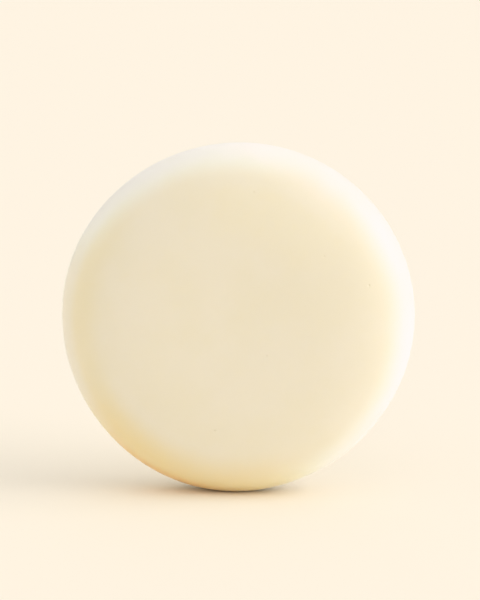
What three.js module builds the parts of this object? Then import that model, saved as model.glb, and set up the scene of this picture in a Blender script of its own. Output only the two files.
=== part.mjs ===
// A round puck of hard shaving soap, standing on its rim.
//
// The puck is one cast body: a thick disc with two flat faces whose edges roll over
// softly into the rim. It is turned about its own axis, so a lathe profile makes it.
//
// Frame, in millimetres: +Z is up, the puck's axis runs along Y, and the origin is the
// lowest point of the rim, midway between the two faces. The front face looks along -Y.

import * as THREE from "three";

// Driving dimensions
const PUCK_DIAMETER = 75;
const PUCK_THICKNESS = 23;
const FLAT_FACE_DIAMETER = 26; // where each face stops being flat
const RIM_BAND_WIDTH = 4; // the straight strip round the middle of the rim
const EDGE_FULLNESS = 2.3; // superellipse power of the rolled edge: 2 is an ellipse

// Fineness of the faceted solid
const SEGMENTS_AROUND = 72; // a multiple of 4, so that a facet lies on each side of the box
const STEPS_PER_EDGE = 9;

const SOAP_COLOUR = "#eddfc2";

const rimRadius = PUCK_DIAMETER / 2;
const faceHeight = PUCK_THICKNESS / 2;
const flatRadius = FLAT_FACE_DIAMETER / 2;
const bandHeight = RIM_BAND_WIDTH / 2;

// One rolled edge, from the rim band inwards to the flat face, as (radius, height) points
function rolledEdge() {
  const radialReach = rimRadius - flatRadius;
  const axialReach = faceHeight - bandHeight;
  const power = 2 / EDGE_FULLNESS;
  const points = [];
  for (let step = 0; step <= STEPS_PER_EDGE; step += 1) {
    const angle = (Math.PI / 2) * (step / STEPS_PER_EDGE);
    const radius = flatRadius + radialReach * Math.max(Math.cos(angle), 0) ** power;
    const height = bandHeight + axialReach * Math.sin(angle) ** power;
    points.push(new THREE.Vector2(radius, height));
  }
  return points;
}

// The whole half-section, from the centre of one face over the rim to the other
function puckProfile() {
  const upperEdge = rolledEdge();
  const lowerEdge = upperEdge.map((point) => new THREE.Vector2(point.x, -point.y)).reverse();
  return [
    new THREE.Vector2(0, -faceHeight),
    ...lowerEdge,
    ...upperEdge,
    new THREE.Vector2(0, faceHeight),
  ];
}

// The lathe turns the profile about Y. Starting half a segment round puts the middle of a
// facet straight down, and the stretch makes the facets' middles reach the full radius.
function makePuck() {
  const halfSegment = Math.PI / SEGMENTS_AROUND;
  const facetStretch = 1 / Math.cos(halfSegment);
  const geometry = new THREE.LatheGeometry(puckProfile(), SEGMENTS_AROUND, halfSegment);
  geometry.scale(facetStretch, 1, facetStretch);
  const soap = new THREE.MeshStandardMaterial({
    color: SOAP_COLOUR,
    roughness: 0.45,
    metalness: 0,
  });
  const puck = new THREE.Mesh(geometry, soap);
  puck.name = "soap_puck";
  puck.position.z = rimRadius;
  return puck;
}

const group = new THREE.Group();
group.add(makePuck());

export default group;
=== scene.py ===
"""A puck of hard shaving soap, standing on its rim on a pale cream studio floor.

The CAD node gives the puck's box. This script makes the fine surface that stands for it: one
cast body with flat faces, softly rolled edges, a slightly uneven outline and a few pinholes.
Metres, +Z up, the puck's axis along Y and its front face towards -Y.
"""

import math
import random

import bmesh
import bpy
import numpy as np
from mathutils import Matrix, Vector, noise


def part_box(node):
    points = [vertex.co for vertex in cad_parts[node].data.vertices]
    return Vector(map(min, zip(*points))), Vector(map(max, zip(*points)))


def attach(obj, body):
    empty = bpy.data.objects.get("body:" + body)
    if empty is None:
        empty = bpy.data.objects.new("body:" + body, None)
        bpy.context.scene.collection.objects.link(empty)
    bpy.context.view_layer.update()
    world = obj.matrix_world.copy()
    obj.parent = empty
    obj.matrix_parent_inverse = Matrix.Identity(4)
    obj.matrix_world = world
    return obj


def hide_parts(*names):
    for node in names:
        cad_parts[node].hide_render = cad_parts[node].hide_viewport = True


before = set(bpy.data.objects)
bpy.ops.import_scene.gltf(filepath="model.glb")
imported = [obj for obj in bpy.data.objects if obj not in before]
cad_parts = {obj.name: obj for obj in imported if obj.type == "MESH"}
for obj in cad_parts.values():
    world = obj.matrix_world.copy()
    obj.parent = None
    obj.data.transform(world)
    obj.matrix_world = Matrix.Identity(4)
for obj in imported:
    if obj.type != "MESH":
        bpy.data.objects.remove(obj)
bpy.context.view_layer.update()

MM = 0.001

# --- The puck's place, from the CAD node that it stands for ---------------------------------

CAD_NODE = "soap_puck"
BODY = "root"

lowest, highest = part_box(CAD_NODE)
PUCK_CENTRE = (lowest + highest) / 2
RIM_RADIUS = (highest.x - lowest.x) / 2
HALF_THICKNESS = (highest.y - lowest.y) / 2

# --- The puck's section: (reach / R) ** FACE_POWER + (height / h) ** RIM_POWER = 1 ----------

FACE_POWER = 3.9
RIM_POWER = 2.4
SECTION_STEPS = 2000
CELLS_PER_SIDE = 96

# --- Unevenness of a hand-poured puck -------------------------------------------------------

# How many lobes round the rim, how far each stands out, and where the first one points
OUTLINE_LOBES = ((2, 0.33 * MM, 41), (3, 0.16 * MM, 25), (4, 0.10 * MM, -10))
RIPPLE_HEIGHT = 0.04 * MM
RIPPLE_SPACING = 14 * MM

# Pinholes of the front face: place across and up, in shares of the rim radius, and diameter
FRONT_PINHOLES = (
    (0.113, 0.750, 0.35 * MM),
    (0.504, 0.405, 0.22 * MM),
    (0.751, 0.240, 0.35 * MM),
    (0.190, -0.155, 0.32 * MM),
    (-0.100, -0.586, 0.35 * MM),
)
# The other side's pinholes: how many, and the shares of the radius between which they lie
BACK_PINHOLES = (5, 0.10, 0.85)
RIM_PINHOLES = (4, 0.90, 0.96)
PINHOLE_SIZES = (0.28 * MM, 0.38 * MM)
PINHOLE_DEPTH = 0.16 * MM
# The mesh is this much finer within this distance of a pinhole
PINHOLE_REFINED = 1.6 * MM
PINHOLE_CUTS = 3
SEED = 11

# --- Colours, in linear light ---------------------------------------------------------------

SOAP_CREAM = (0.915, 0.862, 0.742)
SOAP_BUTTER = (0.905, 0.852, 0.715)
# Stretches of the rim painted with light and shade, multiplied into the soap's own colour: the
# tint, and the shares of the radius between which it fades "in". It may fade "out" again further
# from the centre. It may lie round a "middle", an angle round the rim, and grow between the two
# cosines "around" of the angle from there. It may be kept to the front, where it fades out
# between the "back" distances along the axis.
FRONT_ONLY = (-5 * MM, 2.5 * MM)
RIM_PAINTED_LIGHT_AND_SHADE = (
    # Painted highlight and reflection: paler and bluer all round the rolled edge
    {"tint": (1.09, 1.11, 1.21), "in": (0.82, 0.97)},
    # Painted shade: less of that paleness at the lower left of the front
    {
        "tint": (0.92, 0.90, 0.83),
        "in": (0.82, 0.97),
        "middle": 220,
        "around": (0.1, 0.7),
        "back": FRONT_ONLY,
    },
    # Painted shade: a little greyer on the upper right, toning down the key light's highlight there
    {"tint": (0.93, 0.90, 0.91), "in": (0.82, 0.95), "middle": 37, "around": (0.7, 1.0)},
    # Painted warm shade and floor bounce: amber towards the floor, deepest on the outline
    {
        "tint": (1.05, 0.87, 0.49),
        "in": (0.70, 1.06),
        "middle": 253,
        "around": (0.6, 1.0),
        "back": FRONT_ONLY,
    },
    {
        "tint": (1.03, 0.86, 0.62),
        "in": (0.94, 1.00),
        "middle": 253,
        "around": (0.82, 0.985),
        "back": FRONT_ONLY,
    },
    # Painted shade: deeper still on the outline beside the floor's shadow
    {
        "tint": (0.92, 0.86, 0.76),
        "in": (0.92, 1.00),
        "middle": 246,
        "around": (0.88, 1.0),
        "back": FRONT_ONLY,
    },
    # Painted warm light scattered in from the lit rim: a little yellower on the face's upper right
    {
        "tint": (1.01, 1.00, 0.965),
        "in": (0.40, 0.60),
        "out": (0.74, 0.82),
        "middle": 70,
        "around": (0.75, 0.95),
    },
    # Painted warm shade: a yellow line just inside the left edge
    {
        "tint": (1.00, 0.975, 0.88),
        "in": (0.72, 0.87),
        "out": (0.89, 0.95),
        "middle": 195,
        "around": (0.3, 0.9),
    },
)
FLOOR_CREAM = (0.938, 0.898, 0.813)
BACKDROP_CREAM = (0.998, 0.905, 0.753)

# --- Soap's surface -------------------------------------------------------------------------

# Each noise in cycles per metre, with its detail and how rough that detail is. The edges are
# the noise values between which the clouds and the duller patches fade in.
CLOUD_NOISE = (70, 3.0, 0.5)
CLOUD_EDGES = (0.35, 0.65)
GLOSS_NOISE = (240, 4.0, 0.5)
GLOSS_EDGES = (0.3, 0.7)
ROUGHNESS_RANGE = (0.36, 0.44)
GRAIN_NOISE = (2600, 3.0, 0.6)
GRAIN_STRENGTH = 0.04
GRAIN_HEIGHT = 0.2 * MM
SOAP_IOR = 1.45
SHEEN = 0.3
SHEEN_ROUGHNESS = 0.4
# How far light travels inside the soap, the same for every colour
SCATTER_DISTANCE = 2 * MM

# --- Floor ----------------------------------------------------------------------------------

FLOOR_HALF_SIZE = 20
# How far the puck presses into the soft floor
FLOOR_GIVE = 0.15 * MM

# --- Lighting: a low, wide key light on the right, and soft boxes all round -----------------

# Azimuths go from the object's right (+X) towards the camera (-Y)
KEY_AZIMUTH = 10
KEY_ELEVATION = 22
KEY_SPREAD = 52
KEY_STRENGTH = 0.56
# Azimuth, elevation, sharpness and strength
SOFT_BOXES = (
    (0, 90, 2, 0.88),
    (0, 15, 4, 0.68),
    (180, 15, 4, 1.06),
    (270, 15, 4, 0.82),
    (90, 50, 6, 0.36),
    (90, 15, 4, 0.48),
)
LIGHT_COLOUR = (1.0, 0.950, 0.880)

# --- Camera's response to bright light, as (linear light in, linear light shown) ------------

ROLL_OFF = ((0.85, 0.85), (0.92, 0.912), (1.00, 0.95), (1.12, 0.967), (1.35, 0.985))

# --- Camera ---------------------------------------------------------------------------------

VIEW_AZIMUTH = 5
VIEW_ELEVATION = 10
VIEW_DISTANCE = 0.45
# In millimetres, along the picture's longer side
SENSOR_SIZE = 36
# The height that the picture takes in at the puck, and how far from its centre the camera aims
FRAME_HEIGHT = 0.1278
AIM_RIGHT = 0.56 * MM
AIM_UP = 4.0 * MM
# The nearest and furthest things that the camera sees
CAMERA_REACH = (0.01, 100)


def direction(azimuth, elevation):
    """Unit vector towards a light; azimuth in degrees from +X round towards -Y."""
    turn, rise = math.radians(azimuth), math.radians(elevation)
    return Vector((math.cos(rise) * math.cos(turn), -math.cos(rise) * math.sin(turn), math.sin(rise)))


# --- The puck's surface ---------------------------------------------------------------------


def section():
    """The section from rim to face centre: share of its length, reach and height along it."""
    turn = np.linspace(0, math.pi / 2, SECTION_STEPS)
    reach = RIM_RADIUS * np.cos(turn).clip(0) ** (2 / FACE_POWER)
    height = HALF_THICKNESS * np.sin(turn) ** (2 / RIM_POWER)
    lengths = np.hypot(np.diff(reach), np.diff(height)).cumsum()
    share = np.concatenate(([0], lengths / lengths[-1]))
    return share, reach, height


def cube_sphere():
    """A cube with an even grid on each side, blown up to a unit sphere: it has no poles."""
    mesh = bmesh.new()
    bmesh.ops.create_cube(mesh, size=2)
    bmesh.ops.subdivide_edges(mesh, edges=mesh.edges, cuts=CELLS_PER_SIDE - 1, use_grid_fill=True)
    for vertex in mesh.verts:
        warped = [math.tan(c * math.pi / 4) for c in vertex.co]
        vertex.co = Vector(warped).normalized()
    return mesh


def shape_puck(mesh):
    """Moves the sphere's vertices onto the puck's surface, round its centre."""
    share, reach, height = section()
    for vertex in mesh.verts:
        x, y, z = vertex.co
        around = math.atan2(z, x)
        along = math.asin(min(abs(y), 1)) / (math.pi / 2)
        radius = np.interp(along, share, reach)
        lift = np.interp(along, share, height)
        edge = radius / RIM_RADIUS
        for lobes, size, towards in OUTLINE_LOBES:
            radius += edge**2 * size * math.cos(lobes * (around - math.radians(towards)))
        place = Vector((radius * math.cos(around), math.copysign(lift, y), radius * math.sin(around)))
        outward = Vector((x * edge, y, z * edge)).normalized()
        vertex.co = place + outward * RIPPLE_HEIGHT * noise.noise(place / RIPPLE_SPACING)


def pinhole_places():
    """Place across and up, side and diameter of every pinhole; only the front's are listed."""
    chance = random.Random(SEED)
    places = [(across * RIM_RADIUS, up * RIM_RADIUS, -1, size) for across, up, size in FRONT_PINHOLES]
    for count, nearest, furthest in (BACK_PINHOLES, RIM_PINHOLES):
        for _ in range(count):
            turn = chance.uniform(0, 2 * math.pi)
            out = chance.uniform(nearest, furthest) * RIM_RADIUS
            size = chance.uniform(*PINHOLE_SIZES)
            places.append((out * math.cos(turn), out * math.sin(turn), 1, size))
    return places


def distance_from(point, pinhole):
    """How far a point of the surface is from a pinhole, seen square on to the faces."""
    across, up, side, _ = pinhole
    return math.hypot(point.x - across, point.z - up) if point.y * side > 0 else math.inf


def press_pinholes(mesh):
    """Refines the mesh round each pinhole and presses a small round pit into it."""
    pinholes = pinhole_places()
    for pinhole in pinholes:
        near = [e for e in mesh.edges if distance_from(e.verts[0].co, pinhole) < PINHOLE_REFINED]
        bmesh.ops.subdivide_edges(mesh, edges=near, cuts=PINHOLE_CUTS, use_grid_fill=True)
    mesh.normal_update()
    for pinhole in pinholes:
        size = pinhole[-1]
        near = [v for v in mesh.verts if distance_from(v.co, pinhole) < 2 * size]
        for vertex in near:
            depth = PINHOLE_DEPTH * math.exp(-((2 * distance_from(vertex.co, pinhole) / size) ** 2))
            vertex.co -= vertex.normal * depth


def make_puck():
    """The soap's mesh as an object that rests on the CAD node's lowest point."""
    mesh = cube_sphere()
    shape_puck(mesh)
    press_pinholes(mesh)
    bmesh.ops.recalc_face_normals(mesh, faces=mesh.faces)
    data = bpy.data.meshes.new("shaving_soap")
    mesh.to_mesh(data)
    mesh.free()
    data.shade_smooth()
    puck = bpy.data.objects.new("shaving_soap", data)
    bpy.context.scene.collection.objects.link(puck)
    lowest_point = min(vertex.co.z for vertex in data.vertices)
    puck.location = (PUCK_CENTRE.x, PUCK_CENTRE.y, lowest.z - lowest_point)
    return puck


# --- Node helpers ---------------------------------------------------------------------------


def add_node(tree, kind, settings=None, inputs=None):
    """Adds a node, sets its properties, and sets or links its inputs."""
    node = tree.nodes.new(kind)
    for name, value in (settings or {}).items():
        setattr(node, name, value)
    for key, value in (inputs or {}).items():
        if isinstance(value, bpy.types.NodeSocket):
            tree.links.new(value, node.inputs[key])
        else:
            node.inputs[key].default_value = value
    return node


def calculate(tree, operation, first, second):
    """The result of a sum on two values, each a number or a socket."""
    inputs = {0: first, 1: second}
    return add_node(tree, "ShaderNodeMath", {"operation": operation}, inputs).outputs[0]


def dot_product(tree, first, second):
    """How far one direction points along another."""
    inputs = {0: first, 1: second}
    node = add_node(tree, "ShaderNodeVectorMath", {"operation": "DOT_PRODUCT"}, inputs)
    return node.outputs["Value"]


def map_range(tree, value, low, high, to_low=0.0, to_high=1.0):
    """A smooth step of value from low to high, scaled to run from to_low to to_high."""
    inputs = {"Value": value, "From Min": low, "From Max": high, "To Min": to_low, "To Max": to_high}
    node = add_node(tree, "ShaderNodeMapRange", {"interpolation_type": "SMOOTHSTEP"}, inputs)
    return node.outputs["Result"]


def mix_colour(tree, factor, first, second, blend="MIX"):
    """Two colours mixed or multiplied, each a tuple or a socket."""
    node = add_node(tree, "ShaderNodeMix", {"data_type": "RGBA", "blend_type": blend})
    for socket, value in ((node.inputs[0], factor), (node.inputs[6], first), (node.inputs[7], second)):
        if isinstance(value, bpy.types.NodeSocket):
            tree.links.new(value, socket)
        else:
            socket.default_value = value if isinstance(value, float) else (*value, 1)
    return node.outputs[2]


def noise_texture(tree, place, per_metre, detail, roughness):
    """The value of a fractal noise at a place."""
    inputs = {"Vector": place, "Scale": per_metre, "Detail": detail, "Roughness": roughness}
    return add_node(tree, "ShaderNodeTexNoise", None, inputs).outputs["Fac"]


# --- Soap -----------------------------------------------------------------------------------


def rim_amount(tree, outward, radial, depth, zone):
    """How far a place is inside a stretch of the rim's painted light and shade: 1 in the middle, 0
    away.
    """
    amount = map_range(tree, radial, *zone["in"])
    if "out" in zone:
        fading = map_range(tree, radial, *zone["out"], 1.0, 0.0)
        amount = calculate(tree, "MULTIPLY", amount, fading)
    if "middle" in zone:
        facing = dot_product(tree, outward, direction(0, zone["middle"]))
        nearness = map_range(tree, facing, *zone["around"])
        amount = calculate(tree, "MULTIPLY", amount, nearness)
    if "back" in zone:
        fading = map_range(tree, depth, *zone["back"], 1.0, 0.0)
        amount = calculate(tree, "MULTIPLY", amount, fading)
    return amount


def soap_material():
    """Cloudy cream soap with light scattering inside it, painted light and shade on the rim, and a fine
    grain.
    """
    material = bpy.data.materials.new("soap")
    material.use_nodes = True
    tree = material.node_tree
    tree.nodes.clear()
    place = add_node(tree, "ShaderNodeTexCoord").outputs["Object"]
    flat = add_node(
        tree,
        "ShaderNodeVectorMath",
        {"operation": "MULTIPLY"},
        {0: place, 1: (1 / RIM_RADIUS, 0, 1 / RIM_RADIUS)},
    ).outputs[0]
    radial = add_node(tree, "ShaderNodeVectorMath", {"operation": "LENGTH"}, {0: flat}).outputs["Value"]
    outward = add_node(tree, "ShaderNodeVectorMath", {"operation": "NORMALIZE"}, {0: flat}).outputs[0]
    depth = add_node(tree, "ShaderNodeSeparateXYZ", None, {0: place}).outputs["Y"]

    cloud = map_range(tree, noise_texture(tree, place, *CLOUD_NOISE), *CLOUD_EDGES)
    colour = mix_colour(tree, cloud, SOAP_CREAM, SOAP_BUTTER)
    # Painted light and shade on the rim, multiplied into the soap's colour one stretch at a time
    for zone in RIM_PAINTED_LIGHT_AND_SHADE:
        amount = rim_amount(tree, outward, radial, depth, zone)
        painted_colour = mix_colour(tree, 1.0, colour, zone["tint"], "MULTIPLY")
        colour = mix_colour(tree, amount, colour, painted_colour)

    patches = noise_texture(tree, place, *GLOSS_NOISE)
    roughness = map_range(tree, patches, *GLOSS_EDGES, *ROUGHNESS_RANGE)
    grain = noise_texture(tree, place, *GRAIN_NOISE)
    bump = add_node(
        tree,
        "ShaderNodeBump",
        None,
        {"Strength": GRAIN_STRENGTH, "Distance": GRAIN_HEIGHT, "Height": grain},
    ).outputs["Normal"]
    shader = add_node(
        tree,
        "ShaderNodeBsdfPrincipled",
        {"subsurface_method": "RANDOM_WALK"},
        {
            "Base Color": colour,
            "Roughness": roughness,
            "IOR": SOAP_IOR,
            "Sheen Weight": SHEEN,
            "Sheen Roughness": SHEEN_ROUGHNESS,
            "Subsurface Weight": 1.0,
            "Subsurface Radius": (1.0, 1.0, 1.0),
            "Subsurface Scale": SCATTER_DISTANCE,
            "Normal": bump,
        },
    )
    add_node(tree, "ShaderNodeOutputMaterial", None, {"Surface": shader.outputs[0]})
    return material


# --- Floor, lights and camera ---------------------------------------------------------------


def make_floor():
    """A plain cream floor, into which the puck's lowest point sinks a little."""
    half = FLOOR_HALF_SIZE
    data = bpy.data.meshes.new("studio_floor")
    corners = [(-half, -half, 0), (half, -half, 0), (half, half, 0), (-half, half, 0)]
    data.from_pydata(corners, [], [(0, 1, 2, 3)])
    floor = bpy.data.objects.new("studio_floor", data)
    floor.location.z = lowest.z + FLOOR_GIVE
    bpy.context.scene.collection.objects.link(floor)
    material = bpy.data.materials.new("floor_cream")
    material.use_nodes = True
    tree = material.node_tree
    tree.nodes.clear()
    diffuse = add_node(tree, "ShaderNodeBsdfDiffuse", None, {"Color": (*FLOOR_CREAM, 1)})
    add_node(tree, "ShaderNodeOutputMaterial", None, {"Surface": diffuse.outputs[0]})
    data.materials.append(material)
    return floor


def soft_box(tree, ray, towards, sharpness, strength):
    """Light that falls off smoothly round one direction of the sky."""
    lit = calculate(tree, "MAXIMUM", dot_product(tree, ray, towards), 0)
    lobe = calculate(tree, "POWER", lit, sharpness)
    return calculate(tree, "MULTIPLY", lobe, strength)


def light_studio():
    """Soft boxes in the sky, which the camera sees only as the plain cream backdrop."""
    world = bpy.data.worlds.new("studio")
    bpy.context.scene.world = world
    world.use_nodes = True
    tree = world.node_tree
    tree.nodes.clear()
    ray = add_node(tree, "ShaderNodeTexCoord").outputs["Generated"]
    total = 0.0
    for azimuth, elevation, sharpness, strength in SOFT_BOXES:
        box = soft_box(tree, ray, direction(azimuth, elevation), sharpness, strength)
        total = calculate(tree, "ADD", box, total)
    lamps = add_node(
        tree, "ShaderNodeBackground", None, {"Strength": total, "Color": (*LIGHT_COLOUR, 1)}
    )
    backdrop = add_node(tree, "ShaderNodeBackground", None, {"Color": (*BACKDROP_CREAM, 1)})
    seen = add_node(tree, "ShaderNodeLightPath").outputs["Is Camera Ray"]
    sky = add_node(
        tree, "ShaderNodeMixShader", None, {0: seen, 1: lamps.outputs[0], 2: backdrop.outputs[0]}
    )
    add_node(tree, "ShaderNodeOutputWorld", None, {"Surface": sky.outputs[0]})

    key = bpy.data.lights.new("key", "SUN")
    key.energy = KEY_STRENGTH * math.pi
    key.color = LIGHT_COLOUR
    key.angle = math.radians(KEY_SPREAD)
    lamp = bpy.data.objects.new("key", key)
    lamp.rotation_mode = "QUATERNION"
    lamp.rotation_quaternion = direction(KEY_AZIMUTH, KEY_ELEVATION).to_track_quat("Z", "Y")
    bpy.context.scene.collection.objects.link(lamp)


def place_camera():
    """A camera that looks at the puck from a little above and to the right."""
    data = bpy.data.cameras.new("camera")
    data.sensor_width = SENSOR_SIZE
    data.lens = SENSOR_SIZE * VIEW_DISTANCE / FRAME_HEIGHT
    data.clip_start, data.clip_end = CAMERA_REACH
    backward = direction(90 - VIEW_AZIMUTH, VIEW_ELEVATION)
    right = Vector((math.cos(math.radians(VIEW_AZIMUTH)), math.sin(math.radians(VIEW_AZIMUTH)), 0))
    up = backward.cross(right)
    target = PUCK_CENTRE + right * AIM_RIGHT + up * AIM_UP
    camera = bpy.data.objects.new("camera", data)
    camera.location = target + backward * VIEW_DISTANCE
    camera.rotation_mode = "QUATERNION"
    camera.rotation_quaternion = backward.to_track_quat("Z", "Y")
    bpy.context.scene.collection.objects.link(camera)
    bpy.context.scene.camera = camera


def develop_picture():
    """Plain colours, with the brightest greens and blues rolled off as a camera does it."""
    view = bpy.context.scene.view_settings
    view.view_transform = "Standard"
    view.use_curve_mapping = True
    view.curve_mapping.use_clip = False
    view.curve_mapping.extend = "HORIZONTAL"
    for channel in view.curve_mapping.curves[1:3]:
        channel.points[1].location = ROLL_OFF[-1]
        for place in ROLL_OFF[:-1]:
            channel.points.new(*place)
        # A straight line up to the start of the roll-off
        for point in channel.points[:2]:
            point.handle_type = "VECTOR"
    view.curve_mapping.update()


puck = make_puck()
puck.data.materials.append(soap_material())
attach(puck, BODY)
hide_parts(CAD_NODE)

make_floor()
light_studio()
place_camera()
develop_picture()
